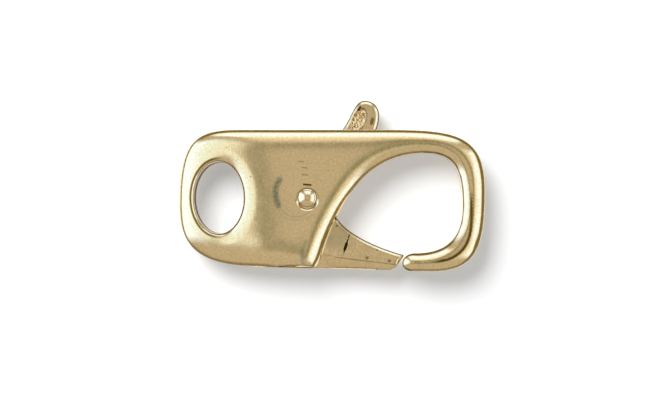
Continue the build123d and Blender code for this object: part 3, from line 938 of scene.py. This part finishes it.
def trigger():
    """Thumb lever, hub, gate and tail in one piece."""
    outline = trigger_outline()
    loop = fine_loop(outline)

    def height(points):
        """How far the surface lies from the middle of the clasp."""
        x, y = points.T
        on_lever = between(y, *LEVER_ZONE)
        above = y - GATE_EDGE_LINE[1] - GATE_EDGE_SLOPE * (x - GATE_EDGE_LINE[0])
        on_gate = between(x, *GATE_EDGE_START) * between(above, *GATE_EDGE_ZONE) * (1 - on_lever)
        radius = blend(TRIGGER_EDGE_ROUND, LEVER_EDGE_ROUND, on_lever)
        radius = radius + (GATE_EDGE_ROUND - TRIGGER_EDGE_ROUND) * on_gate
        fall = edge_fall(edge_distances(points, loop)[0], radius, TRIGGER_STEEPEST)
        return TRIGGER_THICKNESS / 2 - fall

    def front(points):
        """The front, with the gate's bevel and marks and the lever's stippled oval."""
        start, end = np.array(GATE_BEVEL_LINE)
        step = (end - start) / np.hypot(*(end - start))
        below = (points[:, 0] - start[0]) * step[1] - (points[:, 1] - start[1]) * step[0]
        bevel = math.tan(math.radians(GATE_BEVEL_ANGLE)) * smooth_ramp(below, GATE_BEVEL_BEND)
        surface = MID + height(points)
        surface -= bevel * between(points[:, 0], *GATE_BEVEL_ZONE)
        surface -= GOUGE_DEPTH * gouge(points)
        in_oval = 1 - between(oval_share(points), 0.82, 1.0)
        lean = OVAL_LEAN * (points - OVAL_MIDDLE) @ np.array(polar(1, OVAL_LEAN_AZIMUTH))
        surface -= in_oval * (OVAL_DEPTH + lean + STIPPLE_HEIGHT * stipple(points))
        return marked(surface, points, TRIGGER_SCRATCHES, GATE_PITS, GATE_PIT_DEPTH)

    steps = np.arange(-1.0, 1.0, OVAL_STEP)
    oval = np.array([(x, y) for x in OVAL_MIDDLE[0] + steps for y in OVAL_MIDDLE[1] + steps])
    extra = [
        oval[oval_share(oval) < 1.05],
        stroke_points(GOUGE, 0.6 * GOUGE_WIDTH),
        stroke_points(GOUGE, GOUGE_WIDTH),
        stroke_points(GATE_BEVEL_LINE, 0.1),
        stroke_points(LEVER_SPOT, 0.6 * LEVER_SPOT_WIDTH),
        *mark_points(TRIGGER_SCRATCHES[1:], GATE_PITS),
    ]
    bore = circle(RIVET_DIAMETER / 2 + PIN_CLEARANCE, 48)
    rings = TRIGGER_RIM_STEPS
    made = cast("trigger_shell", outline, [bore], front, height, rings, extra, 4, TRIGGER_FACE_STEP)
    smooth(made)
    return made


def rivet():
    """The pivot pin: a domed head in front, a plain shank, and a flush countersunk head behind."""
    seat = BODY_THICKNESS - DISH_DEPTH
    head = HEAD_DIAMETER / 2
    crown = seat + HEAD_HEIGHT
    dome_edge = head - DOME_EDGE_ROUND
    profile = [(r, crown - DOME_STEEPNESS * r ** 3 / 3) for r in np.linspace(0, dome_edge, 20)]
    start = math.atan(DOME_STEEPNESS * dome_edge ** 2)
    edge_top = profile[-1][1]
    for turn in np.linspace(start, math.pi / 2, 10)[1:]:
        r = dome_edge + DOME_EDGE_ROUND * (math.sin(turn) - math.sin(start)) / (1 - math.sin(start))
        fall = DOME_EDGE_STRETCH * DOME_EDGE_ROUND * (math.cos(start) - math.cos(turn))
        profile.append((r, edge_top - fall))
    profile += [(head, seat), (RIVET_DIAMETER / 2, seat), (RIVET_DIAMETER / 2, BACK_HEAD_DEPTH)]
    profile += [(BACK_HEAD_DIAMETER / 2, 0), (0, 0)]
    steps = RIVET_STEPS
    vertices, rows = [], []
    for r, z in profile:
        ring = circle(r, steps) if r else [(0, 0)]
        rows.append([len(vertices) + i % len(ring) for i in range(steps)])
        vertices.extend((x, y, z) for x, y in ring)
    faces = []
    for upper, lower in zip(rows, rows[1:]):
        for i in range(steps):
            j = (i + 1) % steps
            faces.append(list(dict.fromkeys([upper[i], lower[i], lower[j], upper[j]])))
    pin = mesh_object("rivet_turned", vertices, faces)
    smooth(pin)
    return pin


class Graph:
    """The nodes of one material or world, and their links."""

    def __init__(self, tree):
        self.nodes = tree.nodes
        self.links = tree.links

    def give(self, socket, value):
        """Feeds an input with another socket, a number or a colour."""
        if isinstance(value, bpy.types.NodeSocket):
            self.links.new(value, socket)
        else:
            socket.default_value = (*value, 1) if isinstance(value, tuple) else value

    def feed(self, node, values):
        """Feeds several inputs of a node by their names."""
        for name, value in values.items():
            self.give(node.inputs[name], value)

    def place(self, kind):
        """The coordinates of one kind."""
        return self.nodes.new("ShaderNodeTexCoord").outputs[kind]

    def attribute(self, name):
        """A number stored at the mesh's vertices."""
        node = self.nodes.new("ShaderNodeAttribute")
        node.attribute_name = name
        return node.outputs["Fac"]

    def math(self, operation, first, *others):
        """A maths node on one value, or a chain of them over several."""
        for other in others or (None,):
            node = self.nodes.new("ShaderNodeMath")
            node.operation = operation
            self.give(node.inputs[0], first)
            if other is not None:
                self.give(node.inputs[1], other)
            first = node.outputs[0]
        return first

    def mix(self, factor, first, second, blend_type="MIX"):
        """A mix of two colours."""
        node = self.nodes.new("ShaderNodeMix")
        node.data_type = "RGBA"
        node.blend_type = blend_type
        sockets = {socket.name: socket for socket in node.inputs if socket.enabled}
        for name, value in (("Factor", factor), ("A", first), ("B", second)):
            self.give(sockets[name], value)
        return next(socket for socket in node.outputs if socket.enabled)

    def range(self, value, start, end, low=0.0, high=1.0, bend="SMOOTHSTEP"):
        """A number that goes from low to high as a value goes from start to end."""
        node = self.nodes.new("ShaderNodeMapRange")
        node.interpolation_type = bend
        ends = {"From Min": start, "From Max": end, "To Min": low, "To Max": high}
        self.feed(node, {"Value": value, **ends})
        return node.outputs[0]

    def bands(self, share, stops):
        """Colours at angles in degrees from straight above."""
        ramp = self.nodes.new("ShaderNodeValToRGB")
        elements = ramp.color_ramp.elements
        while len(elements) < len(stops):
            elements.new(0.5)
        for element, (degrees, colour) in zip(elements, stops):
            element.position = degrees / 180
            element.color = (*colour, 1)
        self.give(ramp.inputs[0], share)
        return ramp.outputs["Color"]

    def noise(self, place, scale, detail=3.0, stretch=(1, 1, 1), turn=0.0):
        """Noise at a scale in features per millimetre, stretched and turned if wished."""
        mapping = self.nodes.new("ShaderNodeMapping")
        mapping.inputs["Rotation"].default_value = (0, 0, math.radians(turn))
        mapping.inputs["Scale"].default_value = [scale * part / METRES for part in stretch]
        self.give(mapping.inputs["Vector"], place)
        field = self.nodes.new("ShaderNodeTexNoise")
        self.feed(field, {"Scale": 1.0, "Detail": detail, "Vector": mapping.outputs[0]})
        return field.outputs["Fac"]


# Colours that the marks give to the metal, and to its mirroring at a glance: a painted warm
# reflection on the lever's oval, real spots and smudges, and olive and black painted shade
PAINTED_WARM_REFLECTION_TONE = (0.97, 0.68, 0.36)
SPOT_TONE = (0.42, 0.30, 0.17)
SMUDGE_AND_SHADE_TONE = (0.31, 0.34, 0.24)
PAINTED_SHADE_OLIVE = (0.25, 0.155, 0.035)
PAINTED_SHADE_BLACK = (0.02, 0.012, 0.004)
PAINTED_SHADE_OLIVE_TINT = (0.35, 0.25, 0.1)
PAINTED_SHADE_BLACK_TINT = (0.05, 0.03, 0.01)
WHITE = (1.0, 1.0, 1.0)
PAINTED_SHADE_ROUGHNESS = 0.06
WEAR_HEIGHT = 0.03


def new_material(name):
    """A material, its graph and its shader."""
    material = bpy.data.materials.new(name)
    material.use_nodes = True
    graph = Graph(material.node_tree)
    return material, graph, graph.nodes["Principled BSDF"]


def metal(name, tones, roughness, grain, spots=0.0, wear=0.05):
    """Polished metal with fine grain, faint hairlines, uneven gloss and smudges, and painted shade
    and dark reflections in its marks and along edges.
    """
    material, graph, shader = new_material(name)
    place = graph.place("Object")
    fine = graph.noise(place, 5.5)
    broad = graph.noise(place, 0.35, 2.0)
    patches = graph.noise(place, 1.6)
    hairlines = graph.noise(place, 1.0, stretch=(1.5, 12, 1), turn=14)
    cross = graph.noise(place, 1.0, stretch=(10, 2, 1), turn=-31)

    tone = graph.mix(graph.range(broad, 0.35, 0.65), *tones)
    shade = graph.range(fine, 0.25, 0.75, 1 - grain, 1 + grain, "LINEAR")
    tone = graph.mix(1.0, tone, shade, "MULTIPLY")
    if spots:
        # A painted warm reflection on the lever's oval
        tone = graph.mix(graph.attribute("painted_warm_reflection"), tone, PAINTED_WARM_REFLECTION_TONE)
        tone = graph.mix(graph.range(patches, 0.45, 0.7, 0.0, spots), tone, SPOT_TONE)
    streaks = graph.range(fine, 0.3, 0.6, 0.45, 1.0)
    # Real smudges, and painted shade by the lip's foot, in one colour
    tone = graph.mix(graph.math("MULTIPLY", graph.attribute("smudge_and_shade"), streaks), tone, SMUDGE_AND_SHADE_TONE)
    # Painted shade and dark reflections: olive, then black at full strength, which also dims the
    # mirroring
    painted_shade = graph.attribute("painted_shade")
    painted_olive_share = graph.range(painted_shade, 0.0, 0.5, bend="LINEAR")
    painted_black_share = graph.range(painted_shade, 0.5, 1.0, bend="LINEAR")
    gloss = graph.range(patches, 0.3, 0.7, 0.8 * roughness, 1.25 * roughness)
    relief = graph.nodes.new("ShaderNodeBump")
    graph.feed(relief, {
        "Strength": wear,
        "Distance": WEAR_HEIGHT * METRES,
        "Height": graph.math("ADD", hairlines, cross, graph.math("MULTIPLY", fine, 0.8)),
    })
    graph.feed(shader, {
        "Metallic": 1.0,
        "Base Color": graph.mix(painted_black_share, graph.mix(painted_olive_share, tone, PAINTED_SHADE_OLIVE), PAINTED_SHADE_BLACK),
        "Specular Tint": graph.mix(painted_black_share, graph.mix(painted_olive_share, WHITE, PAINTED_SHADE_OLIVE_TINT), PAINTED_SHADE_BLACK_TINT),
        "Roughness": graph.math("ADD", gloss, graph.math("MULTIPLY", painted_shade, PAINTED_SHADE_ROUGHNESS)),
        "Normal": relief.outputs[0],
    })
    return material


# What the polished metal sees of the studio, as light colours
ROOM = (0.582, 0.521, 0.437)
ROOM_BY_HEIGHT = [
    (0.0, ROOM),
    (5.0, ROOM),
    (7.5, (0.37, 0.35, 0.275)),
    (12.5, (0.37, 0.35, 0.275)),
    (18.0, (0.57, 0.51, 0.42)),
    (74.0, (0.55, 0.50, 0.41)),
    (84.0, (0.27, 0.23, 0.13)),
    (180.0, (0.3, 0.28, 0.25)),
]
SIDE_PANEL_BY_HEIGHT = [
    (12.5, (0.82, 0.78, 0.72)),
    (15.5, (1.0, 0.98, 0.93)),
    (18.0, (0.97, 1.10, 1.12)),
    (22.0, (0.97, 1.16, 1.27)),
    (29.0, (1.03, 1.25, 1.55)),
    (38.0, (1.13, 1.39, 1.95)),
    (90.0, (1.25, 1.5, 2.1)),
]
EDGE_PANEL_BY_HEIGHT = [
    (13.0, (0.58, 0.53, 0.44)),
    (19.0, (0.9, 0.84, 0.72)),
    (27.0, (1.12, 1.12, 1.05)),
    (36.0, (1.07, 1.32, 1.72)),
    (55.0, (1.13, 1.39, 1.95)),
    (66.0, (1.13, 1.3, 1.6)),
    (74.0, (1.0, 0.98, 0.82)),
]
HORIZON = (0.21, 0.17, 0.07)
PANEL_RIM = (0.28, 0.28, 0.19)
TABLE_LIGHT = (0.31, 0.31, 0.31)

# Where the dark horizon and the panels' rim lie: azimuth, reach to both sides, and heights
HORIZON_AT = (60.0, (120.0, 100.0), (70.0, 77.0))
RIM_AT = (-8.0, (66.0, 50.0), (7.0, 10.0), (16.0, 12.0))

# Light panels: azimuth, half width, its softness, start and end in height, amount and colours
PANELS = [
    (175.0, 34.0, 18.0, (11.0, 16.0), (80.0, 90.0), 1.0, SIDE_PANEL_BY_HEIGHT),
    (-3.0, 39.0, 11.0, (12.0, 15.0), (70.0, 77.0), 0.95, EDGE_PANEL_BY_HEIGHT),
    (88.0, 30.0, 9.0, (12.0, 15.0), (70.0, 77.0), 1.0, EDGE_PANEL_BY_HEIGHT),
]


def world():
    """The studio: a warm room with soft light panels, and plain light on the table."""
    sky = bpy.data.worlds.new("studio")
    bpy.context.scene.world = sky
    sky.use_nodes = True
    sky.cycles.sampling_method = "NONE"
    graph = Graph(sky.node_tree)
    graph.nodes.clear()
    split = graph.nodes.new("ShaderNodeSeparateXYZ")
    graph.give(split.inputs[0], graph.place("Generated"))
    x, y, z = split.outputs
    height = graph.math("ARCCOSINE", z)
    share = graph.math("DIVIDE", height, math.pi)
    squares = [graph.math("MULTIPLY", part, part) for part in (x, y)]
    level = graph.math("SQRT", graph.math("ADD", *squares))

    def rising(value, start, end):
        """A soft step between two angles in degrees."""
        return graph.range(value, math.radians(start), math.radians(end))

    def patch(azimuth, reach, *heights):
        """One within a reach of an azimuth and between heights, with soft edges."""
        east, north = polar(1.0, azimuth)
        along = graph.math("ADD", graph.math("MULTIPLY", x, east), graph.math("MULTIPLY", y, north))
        aside = graph.math("ARCCOSINE", graph.math("DIVIDE", along, level))
        steps = [rising(height, *step) for step in heights]
        return graph.math("MULTIPLY", rising(aside, *reach), *steps)

    colour = graph.bands(share, ROOM_BY_HEIGHT)
    colour = graph.mix(patch(*HORIZON_AT), colour, HORIZON)
    colour = graph.mix(patch(*RIM_AT), colour, PANEL_RIM)
    for azimuth, half_width, softness, start, end, amount, bands in PANELS:
        reach = (half_width + softness / 2, half_width - softness / 2)
        strength = graph.math("MULTIPLY", patch(azimuth, reach, start, end[::-1]), amount)
        colour = graph.mix(strength, colour, graph.bands(share, bands))

    path = graph.nodes.new("ShaderNodeLightPath")
    colour = graph.mix(path.outputs["Is Diffuse Ray"], colour, TABLE_LIGHT)
    colour = graph.mix(path.outputs["Is Camera Ray"], colour, WHITE)
    background = graph.nodes.new("ShaderNodeBackground")
    graph.give(background.inputs["Color"], colour)
    out = graph.nodes.new("ShaderNodeOutputWorld")
    graph.give(out.inputs["Surface"], background.outputs[0])


KEY_DISTANCE = 200.0
KEY_RADIUS = 66.0
KEY_AZIMUTH = 128.0
KEY_HEIGHT = 54.0
KEY_POWER = 0.66


def key_light():
    """A large round soft light up to the left. It casts the soft shadow on the table."""
    data = bpy.data.lights.new("key", "AREA")
    data.shape = "DISK"
    data.size = 2 * KEY_RADIUS * METRES
    data.energy = KEY_POWER
    lamp = bpy.data.objects.new("key", data)
    level, height = polar(KEY_DISTANCE, KEY_HEIGHT)
    lamp.location = Vector((*polar(level, KEY_AZIMUTH), height)) * METRES
    lamp.rotation_euler = (math.radians(90 - KEY_HEIGHT), 0, math.radians(KEY_AZIMUTH + 90))
    lamp.visible_glossy = False
    bpy.context.scene.collection.objects.link(lamp)


TABLE_RADIUS = 32.0
TABLE_SIZE = 900.0
TABLE_SIDES = 64
TABLE_TONE = (0.545, 0.55, 0.556)

# The table's own light rises between two distances, in millimetres
TABLE_GLOW = (0.33, 1.0)
TABLE_GLOW_REACH = (40.0, 160.0)


def floor():
    """A pale table top, white far out. Its far part isn't mirrored in the metal."""
    material, graph, shader = new_material("pale_table")
    reach = graph.nodes.new("ShaderNodeVectorMath")
    reach.operation = "LENGTH"
    graph.give(reach.inputs[0], graph.place("Object"))
    near, far = (distance * METRES for distance in TABLE_GLOW_REACH)
    graph.feed(shader, {
        "Base Color": TABLE_TONE,
        "Roughness": 0.9,
        "Specular IOR Level": 0.1,
        "Emission Color": WHITE,
        "Emission Strength": graph.range(reach.outputs["Value"], near, far, *TABLE_GLOW),
    })
    count = TABLE_SIDES
    inner, outer = [
        [(x, y, 0) for x, y in circle(radius, count)] for radius in (TABLE_RADIUS, TABLE_SIZE)
    ]
    ring = [(i, count + i, count + (i + 1) % count, (i + 1) % count) for i in range(count)]
    top = mesh_object("table_top", inner, [tuple(range(count))])
    rest = mesh_object("table_far", inner + outer, ring)
    rest.visible_glossy = False
    for part in (top, rest):
        part.data.materials.append(material)


# The photograph is 665 by 417 pixels, and 305 of them span the clasp's length
IMAGE_WIDTH = 665
IMAGE_HEIGHT = 417
CLASP_PIXELS = 305
PIVOT_PIXEL = (307.7, 197.8)
CAMERA_HEIGHT = 130.0
FRAMED_HEIGHT = 2.4
SENSOR = 36.0


def camera():
    """A camera straight above, with the photograph's framing."""
    scale = CLASP_LENGTH / CLASP_PIXELS
    across = IMAGE_WIDTH * scale
    data = bpy.data.cameras.new("camera")
    data.sensor_width = SENSOR
    data.lens = SENSOR * (CAMERA_HEIGHT - FRAMED_HEIGHT) / across
    data.clip_start = 0.001
    data.clip_end = 10
    eye = bpy.data.objects.new("camera", data)
    x = PIVOT.x + (IMAGE_WIDTH / 2 - PIVOT_PIXEL[0]) * scale
    y = PIVOT.y - (IMAGE_HEIGHT / 2 - PIVOT_PIXEL[1]) * scale
    eye.location = Vector((x, y, CAMERA_HEIGHT)) * METRES
    bpy.context.scene.collection.objects.link(eye)
    bpy.context.scene.camera = eye


def painted(thing, name, amount):
    """Stores a number at each vertex of the front for the material to read."""
    count = len(thing.data.vertices)
    places, normals = np.empty(3 * count), np.empty(3 * count)
    thing.data.vertices.foreach_get("co", places)
    thing.data.vertices.foreach_get("normal", normals)
    places = places.reshape(-1, 3) / METRES - np.array([PIVOT.x, PIVOT.y, 0])
    in_front = (places[:, 2] > MID) * (normals[2::3] > 0.01)
    values = np.clip(amount(places[:, :2]), 0, 1) * in_front
    # The eye's walls get painted shade low down
    if name == "painted_shade":
        values = np.maximum(values, eye_wall_painted_shade(places))
    layer = thing.data.attributes.new(name, "FLOAT", "POINT")
    layer.data.foreach_set("value", values.astype(np.float32))


def near_path(points, path, width):
    """One on a path and fading to zero at half a width from it."""
    distance = np.min([stroke_distance(points, a, b) for a, b in zip(path, path[1:])], axis=0)
    return 1 - between(distance, 0.15 * width, 0.5 * width)


def strokes(points, marks):
    """The strongest of several fading strokes at each point."""
    found = [amount * near_path(points, path, width) for path, width, amount in marks]
    return np.max(found, axis=0)


# Painted shade and dark reflections along the opening's inner edge, the foot's bottom edge, the
# gate's nook, the gate's bevel and in scratches and pits: path, width and amount
EDGE_PAINTED_SHADE = 0.52
BODY_PAINTED_SHADE = [
    (INNER_EDGE, 0.24, EDGE_PAINTED_SHADE),
    (FOOT_EDGE, 0.3, 0.5),
    (GATE_NOOK, 0.3, 1.0),
    *painted_shade_in_marks(BODY_SCRATCHES, BODY_PITS, 0.3),
]
TRIGGER_PAINTED_SHADE = [
    (GATE_BEVEL_LINE, 0.1, 0.3),
    (GATE_NOOK, 0.3, 1.0),
    *painted_shade_in_marks(TRIGGER_SCRATCHES, GATE_PITS, 0.35),
]


def eye_wall_painted_shade(places):
    """Painted shade low on the walls of the eye."""
    x, y, z = places.T
    reach = np.hypot((x + EYE_TO_PIVOT) / (EYE_LENGTH / 2), y / (EYE_WIDTH / 2))
    return 0.7 * (reach < 1.02) * (1 - between(z, 2.4, 2.9))


def body_painted_shade(points):
    """Painted shade and dark reflections in the body's marks, along the hook's crest, round the
    rivet's head and the eye's rim.
    """
    x, y = points.T
    # A painted dark reflection along the hook's crest
    fade = between(x, 9.3, 10.6) * (1 - between(y, -0.6, 0.9))
    hook = fade * strokes(points, [HOOK_SHADE])
    # Painted shade in the crevice round the rivet's head
    head = 0.25 * (1 - between(np.abs(np.hypot(x, y) - HEAD_DIAMETER / 2), 0.02, 0.06))
    # A painted dark reflection round the left of the eye's rim
    eye_x = x + EYE_TO_PIVOT
    along = eye_x / (EYE_LENGTH / 2 + EYE_EDGE_ROUND)
    aside = y / (EYE_WIDTH / 2 + EYE_EDGE_ROUND)
    rim = 1 - between(np.abs(np.hypot(along, aside) - 0.99), 0.015, 0.045)
    eye = EDGE_PAINTED_SHADE * rim * (1 - between(eye_x, -0.6, 0.6))
    return np.max([strokes(points, BODY_PAINTED_SHADE), hook, head, eye], axis=0)


def body_smudge_and_shade(points):
    """The greenish traces of a tool round the rivet, and painted shade round the end of the lip's
    foot.
    """
    return strokes(points, SMUDGES_AND_SHADE)


def rivet_painted_shade(points):
    """Painted shade round the foot of the rivet's head."""
    return 0.35 * between(np.hypot(*points.T) / (HEAD_DIAMETER / 2), 0.94, 1)


def trigger_dark_patch(points):
    """The darker, mottled part of the gate beside the lip."""
    return 0.4 * (1 - between(np.hypot(points[:, 0] - 2.0, points[:, 1] + 2.8), 0.7, 1.6))


def trigger_painted_warm_reflection(points):
    """A painted warm reflection on the lever's oval."""
    return 0.8 * (1 - between(oval_share(points), 0.85, 1.0))


def trigger_painted_shade(points):
    """Painted shade and dark reflections in the trigger's marks, in the lever's oval and along the
    upper edges.
    """
    x, y = points.T
    share = oval_share(points)
    # Painted shade along the right half of the oval's rim
    oval_rim = 0.4 * (1 - between(np.abs(share - 1), 0.03, 0.12)) * (x > OVAL_MIDDLE[0])
    # Painted shade in the hollows of the oval's stipple
    specks = 0.42 * (share < 0.95) * between(stipple(points), 0.08, 0.35)
    # A painted dark reflection close along the edges of the gate and the lever
    upper = np.maximum(between(x, 1.0, 2.0) * between(y, -5.35, -5.05), y > 4)
    edge = 1 - between(edge_distances(points, fine_loop(trigger_outline()))[0], 0.05, 0.12)
    edge = EDGE_PAINTED_SHADE * upper * edge
    # Painted shade in the gouge
    cut = np.clip(4 * gouge(points), 0, 1)
    return np.max([strokes(points, TRIGGER_PAINTED_SHADE), oval_rim, specks, edge, cut], axis=0)


BODY_TONES = ((0.90, 0.735, 0.44), (0.92, 0.745, 0.455))
TRIGGER_TONES = ((0.92, 0.75, 0.455), (0.88, 0.71, 0.42))
STEEL_TONES = ((0.56, 0.55, 0.52), (0.60, 0.58, 0.54))
body_gold = metal("polished_gold", BODY_TONES, roughness=0.115, grain=0.12)
trigger_gold = metal("worn_gold", TRIGGER_TONES, roughness=0.115, grain=0.16, spots=0.14, wear=0.09)
steel = metal("spring_steel", STEEL_TONES, roughness=0.25, grain=0.04)

shell = clasp_body()
shell.data.materials.clear()
shell.data.materials.append(body_gold)
painted(shell, "painted_shade", body_painted_shade)
painted(shell, "smudge_and_shade", body_smudge_and_shade)
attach(shell, "body")
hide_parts("clasp_body")

catch = trigger()
catch.data.materials.append(trigger_gold)
painted(catch, "painted_shade", trigger_painted_shade)
painted(catch, "smudge_and_shade", trigger_dark_patch)
painted(catch, "painted_warm_reflection", trigger_painted_warm_reflection)
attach(catch, "trigger")
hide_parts("trigger")

pin = rivet()
pin.data.materials.append(body_gold)
painted(pin, "painted_shade", rivet_painted_shade)
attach(pin, "body")
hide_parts("rivet")

leaf = bpy.data.objects.new("spring_leaf", frame["nodes"]["spring"].data.copy())
bpy.context.scene.collection.objects.link(leaf)
leaf.data.materials.clear()
leaf.data.materials.append(steel)
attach(leaf, "body")
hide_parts("spring")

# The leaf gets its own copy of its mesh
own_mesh(leaf)

floor()
world()
key_light()
camera()
bpy.context.scene.view_settings.view_transform = "Standard"
